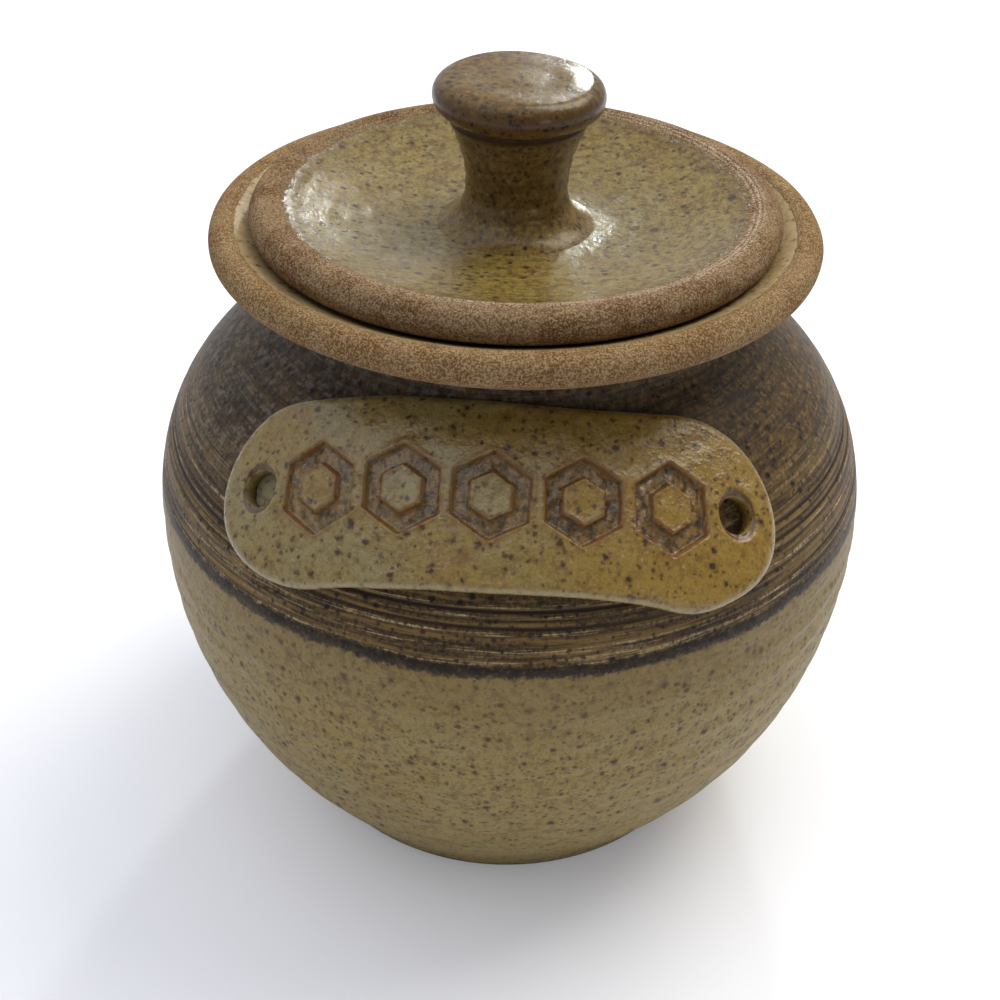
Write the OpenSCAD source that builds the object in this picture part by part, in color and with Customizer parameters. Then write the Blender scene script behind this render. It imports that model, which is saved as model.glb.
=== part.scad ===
// Wheel-thrown stoneware honey pot: a round pot with a flanged mouth, a dished lift-off lid
// with a thrown knob, and a pierced clay plaque pressed onto the shoulder.
// Origin: middle of the flat foot. +Z is up and -Y faces the plaque.

/* [Pot] */
// Radius of the flat foot
foot_r = 36; // [32:1:42]
// Width of the trimmed bevel round the foot
foot_bevel = 0.8; // [0.4:0.1:1.5]
// Greatest radius of the belly
belly_r = 56; // [52:1:62]
// Height of the widest part of the belly
belly_z = 53; // [48:1:57]
// Radius of the neck under the flange
neck_r = 34; // [32:0.5:36]
// Height of the narrowest part of the neck
neck_z = 91; // [89:1:98]
// Thickness of the thrown wall
wall = 4.5; // [3.5:0.1:6]
// Thickness of the floor
floor_t = 6; // [4:0.5:9]
// Angle at which the wall leaves the foot, from level
foot_angle = 66; // [58:1:76]
// Fullness of the belly below its widest part, as a share of the height there
lower_full = 0.57; // [0.45:0.01:0.65]
// Fullness of the shoulder above the belly, as a share of the height there
upper_full = 0.765; // [0.65:0.01:0.85]

/* [Throwing marks] */
// Height between two throwing rings on the lower body
ring_pitch = 5.2; // [4:0.2:8]
// Height of a throwing ring
ring_h = 0.25; // [0.1:0.05:0.5]
// Height of the lowest combed groove
comb_z = 61.5; // [60:0.5:64]
// Number of combed grooves
comb_count = 9; // [4:1:10]
// Height between two combed grooves
comb_pitch = 1.6; // [1.2:0.1:1.8]
// Depth of a combed groove
comb_depth = 0.4; // [0.2:0.05:0.6]

/* [Flange] */
// Radius to the middle of the rolled lip
lip_r = 42; // [41:0.5:45]
// Radius of the roll at the lip
lip_roll = 2.35; // [1.8:0.05:2.8]
// Height of the middle of the lip above the neck
lip_rise = 8.65; // [8:0.05:10]
// Slope of the gallery that the lid sits in, from level
gallery_slope = 27; // [22:1:31]
// Slope of the underside of the flange at the lip, from level
flange_slope = 40; // [34:1:48]
// Rounding of the edge between the gallery and the mouth
mouth_round = 2.4; // [1.5:0.1:3]

/* [Lid] */
// Distance in plan from the edge of the lid to the middle of the lip
lid_margin = 3.6; // [3:0.1:4.5]
// Radius of the roll round the rim of the lid
lid_roll = 2.6; // [2.2:0.1:3]
// Gap between the rim of the lid and the gallery
lid_gap = 0.3; // [0.2:0.05:0.5]
// Thickness of the lid at its middle
lid_t = 5; // [4:0.1:6]
// Depth of the dish below the top of the rim
dish_depth = 5; // [4:0.1:6.5]
// Slope of the dish where it meets the rim, from level
dish_slope = 20; // [16:1:24]

/* [Knob] */
// Radius of the flared foot of the knob
knob_foot_r = 11.5; // [10.5:0.1:13]
// Height of the knob above the dish
knob_h = 22; // [20:0.5:26]
// Radius of the stem at its waist
stem_r = 7.45; // [6.5:0.05:8.2]
// Height of the waist above the foot of the knob
waist_h = 5.9; // [5:0.1:8]
// Radius of the crease under the cap
crease_r = 9.85; // [9:0.05:10.4]
// Drop from the middle of the cap's edge to the crease
crease_drop = 3.5; // [3:0.1:4.2]
// Greatest radius of the cap
cap_r = 12.2; // [11.6:0.1:13.5]
// Radius of the roll round the edge of the cap
cap_roll = 2.55; // [2.2:0.05:2.9]
// Rise of the slightly domed top of the cap
cap_dome = 0.4; // [0.2:0.1:1]

/* [Plaque] */
// Length of the slab, measured along its bend
plaque_l = 84; // [80:1:88]
// Length of each rounded end of the slab
plaque_end = 18; // [14:0.5:20]
// Height of the slab
plaque_h = 25; // [22:0.5:27]
// Thickness of the slab
plaque_t = 3.4; // [2.8:0.1:4.5]
// Softening of the edge round the slab's face
plaque_soft = 1.35; // [0.8:0.05:1.6]
// How deep the slab is pressed into the shoulder
plaque_press = 0.95; // [0.6:0.05:1.4]
// Height from the middle of the slab's seat to the neck
plaque_drop = 9.6; // [9:0.1:12]
// Radius to which the slab bends from top to bottom
plaque_curve = 70; // [60:1:90]
// How far the slab droops at its holes below its middle
plaque_sag = 7.5; // [6:0.5:9]
// Fall of the slab to the right, in each unit of its length
plaque_tilt = 0.006; // [0:0.002:0.04]
// Shift of the slab's middle to the right of the front
plaque_shift = -2.2; // [-4:0.2:4]
// Diameter of each pierced hole
hole_d = 5.2; // [4:0.1:6.5]
// Distance from the middle of a hole to the end of the slab
hole_inset = 7.6; // [6.5:0.1:9]

/* [Stamped cells] */
// Number of stamped six-sided cells
cell_count = 5; // [3:1:5]
// Width of the clay left standing between two cells
cell_gap = 1.4; // [1.2:0.1:1.6]
// Radius of a cell to its corners
cell_r = 6.1; // [5.2:0.1:6.1]
// Radius of the island left standing in a cell
island_r = 3.1; // [2:0.1:3.6]
// Depth of the stamp
cell_depth = 1; // [0.6:0.1:1.4]

/* [Hidden] */
$fn = 96;

pot_colour = [0.47, 0.4, 0.27];
plaque_colour = [0.5, 0.47, 0.32];
lid_colour = [0.56, 0.48, 0.3];
knob_colour = [0.52, 0.43, 0.26];

// A point at share t of the curve that leaves p0 towards p1 and arrives at p3 from p2
function curve(p0, p1, p2, p3, t) =
    pow(1 - t, 3) * p0
    + 3 * pow(1 - t, 2) * t * p1
    + 3 * (1 - t) * t * t * p2
    + t * t * t * p3;

// Points along such a curve, first and last included
function curve_points(p0, p1, p2, p3, steps) =
    [for (i = [0:steps]) curve(p0, p1, p2, p3, i / steps)];

// Points along an arc of radius r about c, from angle a to angle b
function arc(c, r, a, b, steps) =
    [for (i = [0:steps]) let (w = a + (b - a) * i / steps) c + r * [cos(w), sin(w)]];

// A list without its first point, so that two stretches can share an end
function tail(points) = [for (i = [1:len(points) - 1]) points[i]];

// The smooth outside of the pot, as radius at a height
table_steps = 48;
foot_hold = 9.5;
neck_hold = 6.6;
foot_side = [foot_r, 0];
belly_side = [belly_r, belly_z];
neck_side = [neck_r, neck_z];
side_curve = concat(
    curve_points(foot_side, foot_side + foot_hold * [cos(foot_angle), sin(foot_angle)],
                 belly_side - [0, lower_full * belly_z], belly_side, table_steps),
    tail(curve_points(belly_side, belly_side + [0, upper_full * (neck_z - belly_z)],
                      neck_side - [0, neck_hold], neck_side, table_steps)));
side_table = [for (p = side_curve) [p[1], p[0]]];
function side_r(z) = lookup(z, side_table);

// Run of the outside inwards for each unit of height, and its outward normal
probe = 0.4;
function side_run(z) = (side_r(z - probe) - side_r(z + probe)) / (2 * probe);
function side_normal(z) = [1, side_run(z)] / norm([1, side_run(z)]);

// The outside as it is thrown: rings to the comb, combed grooves, then a smooth shoulder
ring_steps = floor((comb_z - comb_pitch - foot_bevel) / (ring_pitch / 2));
ring_side = [for (i = [1:ring_steps])
    let (z = foot_bevel + i * ring_pitch / 2, out = (i % 2 == 0) ? ring_h / 2 : -ring_h / 2)
    [side_r(z) + out, z]];
comb_side = [for (i = [0:2 * comb_count])
    let (z = comb_z + (i - 1) * comb_pitch / 2, cut = (i % 2 == 1) ? comb_depth : 0)
    [side_r(z) - cut, z]];
comb_top = comb_z + (2 * comb_count - 1) * comb_pitch / 2;
shoulder_steps = 9;
shoulder_side = [for (i = [1:shoulder_steps])
    let (z = comb_top + (neck_z - comb_top) * i / shoulder_steps)
    [side_r(z), z]];

// The flange: a cove under it, the rolled lip, and the gallery sloping to the mouth
lip_mid = [lip_r, neck_z + lip_rise];
cove_end = lip_mid + lip_roll * [sin(flange_slope), -cos(flange_slope)];
cove_steps = 8;
cove_side = curve_points(neck_side, neck_side + [0, lip_rise * 0.4],
                         cove_end - lip_rise * 0.58 * [cos(flange_slope), sin(flange_slope)],
                         cove_end, cove_steps);
lip_steps = 14;
lip_side = arc(lip_mid, lip_roll, flange_slope - 90, 90 + gallery_slope, lip_steps);
gallery_top = lip_mid + lip_roll * [-sin(gallery_slope), cos(gallery_slope)];
function gallery_z(r) = gallery_top[1] - (gallery_top[0] - r) * tan(gallery_slope);

// The mouth: its edge is rounded between the gallery and the inside of the neck
mouth_r = neck_r - wall;
mouth_mid = [mouth_r + mouth_round,
             gallery_z(mouth_r + mouth_round) - mouth_round / cos(gallery_slope)];
mouth_steps = 5;
mouth_side = arc(mouth_mid, mouth_round, 90 + gallery_slope, 180, mouth_steps);

// The inside, one wall in from the outside, and rounded into the floor
inner_steps = 18;
inner_low = floor_t + 9;
inner_top = neck_z;
inner_side = [for (i = [inner_steps:-1:0])
    let (z = inner_low + (inner_top - inner_low) * i / inner_steps)
    [side_r(z), z] - wall * side_normal(z)];
inner_foot = inner_side[inner_steps];
floor_edge_r = foot_r - wall - 4;
floor_steps = 6;
floor_side = tail(curve_points(inner_foot, inner_foot - [1.2, 4],
                               [floor_edge_r + 5, floor_t], [floor_edge_r, floor_t],
                               floor_steps));

// The lid rests its rolled rim on the gallery
lid_rim_r = lip_r - lid_margin - lid_roll;
lid_mid = [lid_rim_r, gallery_z(lid_rim_r) + (lid_roll + lid_gap) / cos(gallery_slope)];
dish_z = lid_mid[1] + lid_roll - dish_depth;
dish_edge = lid_mid + lid_roll * [-sin(dish_slope), cos(dish_slope)];
dish_power = tan(dish_slope) * (dish_edge[0] - knob_foot_r) / (dish_edge[1] - dish_z);
under_slope = gallery_slope - 5;
under_z = dish_z - lid_t;
under_edge = lid_mid + lid_roll * [sin(under_slope), -cos(under_slope)];
under_power = tan(under_slope) * (under_edge[0] - knob_foot_r) / (under_edge[1] - under_z);
lid_steps = 9;

// A height that climbs from low to the edge point by a power of the distance out
function climb(low, edge, power, share) = [
    knob_foot_r + (edge[0] - knob_foot_r) * share,
    low + (edge[1] - low) * pow(share, power)
];

// The knob stands on the flat middle of the dish
cap_mid = [cap_r - cap_roll, dish_z + knob_h - cap_dome - cap_roll];
waist = [stem_r, dish_z + waist_h];
crease = [crease_r, cap_mid[1] - crease_drop];
knob_steps = 8;
cap_under = -50;
cap_over = 84;

// The plaque follows the shoulder round and is bent a little from top to bottom
seat_z = neck_z - plaque_drop;
seat_slope = atan2(1, side_run(seat_z));
seat_out = [sin(seat_slope), cos(seat_slope)];
plaque_mid = [side_r(seat_z), seat_z] + (plaque_t - plaque_press) * seat_out;
plaque_hub = plaque_mid - plaque_curve * seat_out;
hole_s = plaque_l / 2 - hole_inset;
function degrees(angle) = angle * 180 / PI;

// Height up the slope of a place s along the slab and v above its middle line
function slab_up(s, v) = v - plaque_sag * pow(s / hole_s, 2) - plaque_tilt * s;
function slab_lean(up) = seat_slope - degrees(up / plaque_curve);
// Radius and height of a place, k outside the slab's face
function slab_side(up, k) =
    plaque_hub + (plaque_curve + k) * [sin(slab_lean(up)), cos(slab_lean(up))];
function slab_turn(s, v) = degrees((s + plaque_shift) / slab_side(slab_up(s, v), 0)[0]);

// The slab is lofted through sections across it, which lie closer where its ends round off.
// The way past the straight part is scaled, so that each half-ellipse counts as a half-circle.
end_s = plaque_l / 2 - plaque_end;
end_turn = 84;
end_steps = 8;
middle_steps = 16;
slab_stations = concat(
    [for (i = [end_steps:-1:1]) -end_s - plaque_end * sin(end_turn * i / end_steps)],
    [for (i = [0:middle_steps]) end_s * (2 * i / middle_steps - 1)],
    [for (i = [1:end_steps]) end_s + plaque_end * sin(end_turn * i / end_steps)]);
function past_end(s) = max(0, abs(s) - end_s) * plaque_h / 2 / plaque_end;
function slab_half(s) = sqrt(pow(plaque_h / 2, 2) - pow(past_end(s), 2));

// Drop of the softened edge below the face, a quarter circle by the distance in from the outline
function slab_in(s, v) = max(0, min(plaque_soft, plaque_h / 2 - norm([past_end(s), v])));
function soft_drop(s, v) =
    plaque_soft - sqrt(pow(plaque_soft, 2) - pow(plaque_soft - slab_in(s, v), 2));

// A place on the slab, and the loop of places round its section at s: up the face, down the back
function slab_point(s, v, k) =
    let (p = slab_side(slab_up(s, v), k), w = slab_turn(s, v))
    [p[0] * sin(w), -p[0] * cos(w), p[1]];
face_steps = 12;
back_steps = 6;
function slab_loop(s) = concat(
    [for (i = [0:face_steps])
        let (v = slab_half(s) * sin(180 * i / face_steps - 90))
        slab_point(s, v, -soft_drop(s, v))],
    [for (i = [back_steps:-1:0])
        slab_point(s, slab_half(s) * sin(180 * i / back_steps - 90), -plaque_t)]);

// The cells stand side by side with their flats towards each other
cell_pitch = 2 * cell_r * cos(30) + cell_gap;

// Places its children on the slab's face at s along it and v above its middle line
module on_slab(s, v) {
    p = slab_side(slab_up(s, v), 0);
    rotate([0, 0, slab_turn(s, v)])
        translate([0, -p[0], p[1]])
            rotate([slab_lean(slab_up(s, v)), 0, 0])
                children();
}

module pot_body() {
    color(pot_colour)
        rotate_extrude()
            polygon(concat([[0, 0], [foot_r - foot_bevel, 0], [side_r(foot_bevel), foot_bevel]],
                           ring_side, comb_side, shoulder_side, tail(cove_side), tail(lip_side),
                           mouth_side, inner_side, floor_side, [[0, floor_t]]));
}

module plaque() {
    color(plaque_colour)
        difference() {
            bent_slab();
            for (side = [-1, 1])
                on_slab(side * hole_s, 0)
                    cylinder(h = 4 * plaque_t, d = hole_d, center = true);
            for (i = [0:cell_count - 1])
                on_slab((i - (cell_count - 1) / 2) * cell_pitch, 0)
                    stamped_cell();
        }
}

// The slab before it is pierced and stamped, bent round the shoulder and from top to bottom
module bent_slab() {
    round = face_steps + back_steps + 2;
    last = (len(slab_stations) - 1) * round;
    skin = [for (i = [0:len(slab_stations) - 2], j = [0:round - 1])
        let (a = i * round + j, b = i * round + (j + 1) % round)
        each [[a, b, b + round], [a, b + round, a + round]]];
    left_end = [for (j = [1:round - 2]) [0, j + 1, j]];
    right_end = [for (j = [1:round - 2]) [last, last + j, last + j + 1]];
    polyhedron(points = [for (s = slab_stations) each slab_loop(s)],
               faces = concat(skin, left_end, right_end));
}

// The hollow that one stamp leaves: a six-sided ring round a standing island
module stamped_cell() {
    translate([0, 0, -cell_depth])
        rotate([0, 0, 30])
            difference() {
                cylinder(h = 2 * cell_depth, r = cell_r, $fn = 6);
                cylinder(h = 2 * cell_depth, r = island_r, $fn = 6);
            }
}

module lid() {
    color(lid_colour)
        rotate_extrude()
            polygon(concat(
                [[0, under_z]],
                [for (i = [0:lid_steps]) climb(under_z, under_edge, under_power, i / lid_steps)],
                tail(arc(lid_mid, lid_roll, under_slope - 90, 90 + dish_slope, lip_steps)),
                tail([for (i = [lid_steps:-1:0])
                    climb(dish_z, dish_edge, dish_power, i / lid_steps)]),
                [[0, dish_z]]));
}

module lid_knob() {
    color(knob_colour)
        rotate_extrude()
            polygon(concat(
                [[0, dish_z]],
                curve_points([knob_foot_r, dish_z], [stem_r + 1.6, dish_z + 0.2],
                             waist - [0, waist_h * 0.6], waist, knob_steps),
                tail(curve_points(waist, waist + [0, waist_h * 0.6],
                                  crease - [1.2, 2.8], crease, knob_steps)),
                arc(cap_mid, cap_roll, cap_under, cap_over, knob_steps),
                [[0, dish_z + knob_h]]));
}

pot_body();
plaque();
lid();
lid_knob();
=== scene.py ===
"""The looks of a wheel-thrown stoneware honey pot with a dished lift-off lid and a pressed plaque.

Lengths in the dataclasses are millimetres. Meshes are written in metres, in the frame of the
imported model: the foot stands at the origin, +Z is up and the plaque faces -Y.
"""

import logging
import math
from dataclasses import dataclass, field
from enum import Enum
from typing import Union

import bpy
import numpy as np
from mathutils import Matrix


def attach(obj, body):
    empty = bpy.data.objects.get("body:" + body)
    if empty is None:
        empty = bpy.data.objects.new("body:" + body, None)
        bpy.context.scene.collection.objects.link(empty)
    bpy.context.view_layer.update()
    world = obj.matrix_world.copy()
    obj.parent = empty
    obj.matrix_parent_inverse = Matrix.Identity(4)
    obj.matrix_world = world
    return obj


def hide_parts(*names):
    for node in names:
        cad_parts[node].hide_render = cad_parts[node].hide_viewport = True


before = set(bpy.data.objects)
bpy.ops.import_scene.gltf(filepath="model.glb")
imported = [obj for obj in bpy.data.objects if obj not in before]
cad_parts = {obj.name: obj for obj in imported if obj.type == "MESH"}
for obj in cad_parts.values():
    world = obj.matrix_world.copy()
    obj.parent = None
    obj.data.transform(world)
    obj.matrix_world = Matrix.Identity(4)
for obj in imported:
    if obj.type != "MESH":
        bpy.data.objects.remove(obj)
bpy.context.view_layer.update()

LOG = logging.getLogger("honey_pot")
MM = 0.001
TURN = 2.0 * math.pi

Array = np.ndarray
Socket = bpy.types.NodeSocket
Value = Union[Socket, float, tuple]
Colour = tuple[float, float, float, float]


def clay(red: int, green: int, blue: int) -> Colour:
    """Turn a colour as a screen shows it, 0 to 255, into the linear colour that a shader takes.

    Args:
        red: Red as shown.
        green: Green as shown.
        blue: Blue as shown.

    Returns:
        The linear colour with full alpha.
    """
    shown = np.array([red, green, blue]) / 255.0
    linear = np.where(shown <= 0.04045, shown / 12.92, ((shown + 0.055) / 1.055) ** 2.4)
    return (float(linear[0]), float(linear[1]), float(linear[2]), 1.0)


# Curves and fields that the potter's shapes are made of


def bend(start: tuple, leave: tuple, arrive: tuple, end: tuple, steps: int = 60) -> Array:
    """Points of a cubic curve: the four corners weighed by (1-t)^3, 3(1-t)^2 t, 3(1-t)t^2, t^3.

    Args:
        start: First point.
        leave: Point that the curve leaves towards.
        arrive: Point that the curve arrives from.
        end: Last point.
        steps: Number of steps along the curve.

    Returns:
        An array of radius and height, one row a point.
    """
    t = np.linspace(0.0, 1.0, steps + 1)[:, None]
    corners = [np.asarray(p, float) for p in (start, leave, arrive, end)]
    weights = [(1 - t) ** 3, 3 * (1 - t) ** 2 * t, 3 * (1 - t) * t**2, t**3]
    return sum(w * p for w, p in zip(weights, corners))


def arc(middle: Array, radius: float, first: float, last: float, steps: int = 40) -> Array:
    """Points of an arc: the middle plus the radius times the cosine and sine of the angle.

    Args:
        middle: Centre of the arc, radius and height.
        radius: Radius of the arc.
        first: First angle in degrees, from straight outwards.
        last: Last angle in degrees.
        steps: Number of steps along the arc.

    Returns:
        An array of radius and height, one row a point.
    """
    angle = np.radians(np.linspace(first, last, steps + 1))
    return np.asarray(middle) + radius * np.stack([np.cos(angle), np.sin(angle)], axis=1)


def even(path: Array, spacing: float) -> Array:
    """Space the points of a path evenly by interpolating over its running length.

    Args:
        path: Points of the path.
        spacing: Wanted distance between two points.

    Returns:
        The same path with evenly spaced points, both ends kept.
    """
    run = np.concatenate([[0.0], np.cumsum(np.linalg.norm(np.diff(path, axis=0), axis=1))])
    count = max(2, int(round(run[-1] / spacing)) + 1)
    at = np.linspace(0.0, run[-1], count)
    return np.stack([np.interp(at, run, path[:, 0]), np.interp(at, run, path[:, 1])], axis=1)


def chain(*stretches: Array) -> Array:
    """Join stretches of a profile end to end, and drop each point that repeats the one before."""
    path = np.concatenate(stretches)
    step = np.linalg.norm(np.diff(path, axis=0), axis=1)
    return path[np.concatenate([[True], step > 1e-4])]


def outward(path: Array) -> Array:
    """Unit normals of a profile drawn upwards on its outside: the tangent turned clockwise."""
    along = np.gradient(path, axis=0)
    normal = np.stack([along[:, 1], -along[:, 0]], axis=1)
    return normal / np.maximum(np.linalg.norm(normal, axis=1), 1e-9)[:, None]


def ease(value: Array, low: float, high: float) -> Array:
    """Smooth step: 0 at low, 1 at high, and 3t^2 - 2t^3 between."""
    t = np.clip((value - low) / (high - low), 0.0, 1.0)
    return t * t * (3.0 - 2.0 * t)


def bell(value: Array, middle: float, width: float) -> Array:
    """A bell: 1 at the middle, and e^-1 a width away from it."""
    return np.exp(-(((value - middle) / width) ** 2))


def unrest(turn: Array, along: Array, seed: int, waves: int = 5, reach: float = 20.0) -> Array:
    """A smooth field without a pattern: cosines of whole turns plus a drift along the profile.

    Args:
        turn: Angle round the axis, in radians.
        along: Length along the profile, in millimetres.
        seed: Picks the amplitudes and phases.
        waves: Highest number of waves in a turn.
        reach: Length along the profile over which the field changes.

    Returns:
        The field, about -1 to 1.
    """
    draw = np.random.default_rng(seed)
    total = np.zeros(np.broadcast(turn, along).shape)
    power = 0.0
    for wave in range(waves + 1):
        phase, drift = draw.uniform(0, TURN), draw.uniform(-1.0, 1.0)
        weight = 1.0 / (1.0 + 0.5 * wave)
        total = total + weight * np.cos(wave * turn + phase + drift * TURN * along / reach)
        power += weight * weight
    return total / math.sqrt(power)


# Meshes


def mesh_piece(
    name: str, points: Array, corners: Array, starts: Array, masks: dict[str, Array]
) -> bpy.types.Object:
    """Write arrays into a smooth mesh object.

    Args:
        name: Name of the piece.
        points: Vertices in millimetres, one row each.
        corners: Vertex numbers of all faces, one after another.
        starts: Place in corners where each face begins.
        masks: Named values for each vertex, which the materials read.

    Returns:
        The new object, at the origin.
    """
    mesh = bpy.data.meshes.new(name)
    mesh.vertices.add(len(points))
    mesh.vertices.foreach_set("co", (points * MM).astype(np.float32).ravel())
    mesh.loops.add(len(corners))
    mesh.loops.foreach_set("vertex_index", corners.astype(np.int32))
    mesh.polygons.add(len(starts))
    mesh.polygons.foreach_set("loop_start", starts.astype(np.int32))
    mesh.update(calc_edges=True)
    mesh.validate()
    mesh.polygons.foreach_set("use_smooth", np.ones(len(mesh.polygons), bool))
    for mask_name, mask in masks.items():
        layer = mesh.attributes.new(mask_name, "FLOAT", "POINT")
        layer.data.foreach_set("value", mask.astype(np.float32).ravel())
    piece = bpy.data.objects.new(name, mesh)
    bpy.context.scene.collection.objects.link(piece)
    return piece


def ring_faces(rings: int, turns: int, first: int) -> Array:
    """Four-cornered faces between rings of vertices, each face one step round and one ring on."""
    ring, step = np.meshgrid(np.arange(rings - 1), np.arange(turns), indexing="ij")
    here = first + ring * turns + step
    beside = first + ring * turns + (step + 1) % turns
    return np.stack([here, beside, beside + turns, here + turns], axis=-1).reshape(-1, 4)


def face_lists(quads: Array, triangles: Array) -> tuple[Array, Array]:
    """Corner numbers and face starts for four-cornered faces followed by triangles."""
    corners = np.concatenate([quads.ravel(), triangles.ravel()])
    starts = np.concatenate(
        [np.arange(len(quads)) * 4, len(quads) * 4 + np.arange(len(triangles)) * 3]
    )
    return corners, starts


@dataclass
class Thrown:
    """A closed shape thrown on the wheel: a profile from the axis to the axis, carried round it."""

    name: str
    path: Array
    turns: int

    def grid(self) -> tuple[Array, Array, Array]:
        """Length along the profile as a column, the profile's inner points, and the turn as a row."""
        run = np.concatenate([[0.0], np.cumsum(np.linalg.norm(np.diff(self.path, axis=0), axis=1))])
        turn = np.arange(self.turns)[None, :] * TURN / self.turns
        return run[1:-1, None], self.path[1:-1], turn

    def build(self, swell: Array, lift: Array, masks: dict[str, Array]) -> bpy.types.Object:
        """Carry the profile round: x = r sin(turn), y = -r cos(turn), z as it is.

        Args:
            swell: How far each vertex moves along the profile's normal.
            lift: How far each vertex moves up.
            masks: Named values for each vertex of the grid.

        Returns:
            The piece, closed at both poles.
        """
        run, path, turn = self.grid()
        normal = outward(self.path)[1:-1]
        radius = path[:, :1] + swell * normal[:, :1]
        height = path[:, 1:] + swell * normal[:, 1:] + lift
        radius, height = np.broadcast_arrays(radius, height)
        rings = len(path)
        body = np.stack([radius * np.sin(turn), -radius * np.cos(turn), height], axis=-1)
        poles = np.array([[0, 0, height[0].mean()], [0, 0, height[-1].mean()]])
        points = np.concatenate([body.reshape(-1, 3), poles])
        step = np.arange(self.turns)
        beside = (step + 1) % self.turns
        last = (rings - 1) * self.turns
        low, high = rings * self.turns, rings * self.turns + 1
        fans = np.concatenate(
            [
                np.stack([np.full_like(step, low), beside, step], axis=1),
                np.stack([last + step, last + beside, np.full_like(step, high)], axis=1),
            ]
        )
        corners, starts = face_lists(ring_faces(rings, self.turns, 0), fans)
        shape = (rings, self.turns)
        masks = {**masks, "run": run}
        ends = {}
        for key, mask in masks.items():
            poles = [np.mean(mask[:1]), np.mean(mask[-1:])]
            ends[key] = np.concatenate([np.broadcast_to(mask, shape).ravel(), poles])
        return mesh_piece(self.name, points, corners, starts, ends)


# The pot


@dataclass
class Pot:
    """The thrown body: foot, belly, combed shoulder, neck, flange, gallery and chamber."""

    foot_r: float = 36.0
    foot_bevel: float = 0.8
    belly_r: float = 56.0
    belly_z: float = 53.0
    neck_r: float = 34.0
    neck_z: float = 91.0
    wall: float = 4.5
    floor_t: float = 6.0
    foot_angle: float = 66.0
    lower_full: float = 0.57
    upper_full: float = 0.765
    foot_hold: float = 9.5
    neck_hold: float = 6.6
    lip_r: float = 42.0
    lip_roll: float = 2.35
    lip_rise: float = 8.65
    gallery_slope: float = 27.0
    flange_slope: float = 40.0
    mouth_round: float = 2.4
    comb_low: float = 62.4
    comb_high: float = 78.5
    comb_pitch: float = 1.05
    comb_depth: float = 0.21
    ring_pitch: float = 5.2
    ring_depth: float = 0.13
    turns: int = 296
    side: Array = field(init=False)

    def __post_init__(self) -> None:
        """Work out the smooth outside from foot to neck, which other pieces sit on."""
        rise = math.radians(self.foot_angle)
        leave = (self.foot_r + self.foot_hold * math.cos(rise), self.foot_hold * math.sin(rise))
        belly = (self.belly_r, self.belly_z)
        lower = bend(
            (self.foot_r, 0.0), leave, (self.belly_r, self.belly_z * (1 - self.lower_full)), belly
        )
        upper = bend(
            belly,
            (self.belly_r, self.belly_z + self.upper_full * (self.neck_z - self.belly_z)),
            (self.neck_r, self.neck_z - self.neck_hold),
            (self.neck_r, self.neck_z),
        )
        self.side = chain(lower, upper)

    def side_r(self, height: Array) -> Array:
        """Radius of the smooth outside at a height."""
        return np.interp(height, self.side[:, 1], self.side[:, 0])

    def between(self, low: float, high: float, spacing: float) -> Array:
        """The stretch of the outside between two heights, evenly spaced."""
        heights = np.linspace(low, high, 80)
        return even(np.stack([self.side_r(heights), heights], axis=1), spacing)

    def lip_middle(self) -> Array:
        """Middle of the rolled lip."""
        return np.array([self.lip_r, self.neck_z + self.lip_rise])

    def gallery_z(self, radius: float) -> float:
        """Height of the sloping gallery at a radius: a straight line in from the top of the lip."""
        slope = math.radians(self.gallery_slope)
        top = self.lip_middle() + self.lip_roll * np.array([-math.sin(slope), math.cos(slope)])
        return float(top[1] - (top[0] - radius) * math.tan(slope))

    def profile(self) -> tuple[Array, int]:
        """The whole profile from under the foot to the floor inside.

        Returns:
            The points, and how many of them lie on the outside up to the top of the lip.
        """
        slope, under = math.radians(self.gallery_slope), math.radians(self.flange_slope)
        foot_flat = self.foot_r - self.foot_bevel
        base = even(np.array([[0.0, 0.0], [foot_flat, 0.0]]), 5.0)
        heel = bend((foot_flat, 0.0), (self.foot_r - 0.2, 0.0), (self.foot_r + 0.05, 0.3),
                    (float(self.side_r(self.foot_bevel)), self.foot_bevel), 4)
        lip = self.lip_middle()
        cove_end = lip + self.lip_roll * np.array([math.sin(under), -math.cos(under)])
        reach = 0.58 * self.lip_rise * np.array([math.cos(under), math.sin(under)])
        cove = bend((self.neck_r, self.neck_z), (self.neck_r, self.neck_z + 0.4 * self.lip_rise),
                    tuple(cove_end - reach), tuple(cove_end))
        roll = arc(lip, self.lip_roll, self.flange_slope - 90, 90 + self.gallery_slope)
        mouth_r = self.neck_r - self.wall
        mouth = np.array([mouth_r + self.mouth_round, 0.0])
        mouth[1] = self.gallery_z(mouth[0]) - self.mouth_round / math.cos(slope)
        edge = arc(mouth, self.mouth_round, 90 + self.gallery_slope, 180)
        gallery = np.array([roll[-1], edge[0]])
        inner_z = np.linspace(self.neck_z, self.floor_t + 9.0, 50)
        outer = np.stack([self.side_r(inner_z), inner_z], axis=1)
        inner = outer - self.wall * outward(outer[::-1])[::-1]
        foot_in = self.foot_r - self.wall - 4.0
        floor = bend(tuple(inner[-1]), tuple(inner[-1] - [1.2, 4.0]), (foot_in + 5.0, self.floor_t),
                     (foot_in, self.floor_t))
        pad = np.array([[foot_in, self.floor_t], [0.0, self.floor_t]])
        outside = [
            base, heel, self.between(self.foot_bevel, self.comb_low, 0.8),
            self.between(self.comb_low, self.comb_high, 0.23),
            self.between(self.comb_high, self.neck_z, 0.8),
            even(cove, 0.7), even(roll, 0.3),
        ]
        inside = [even(gallery, 0.6), even(edge, 0.5), even(inner, 2.4), even(floor, 2.4), even(pad, 5.0)]
        return chain(*outside, *inside), len(chain(*outside))

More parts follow.
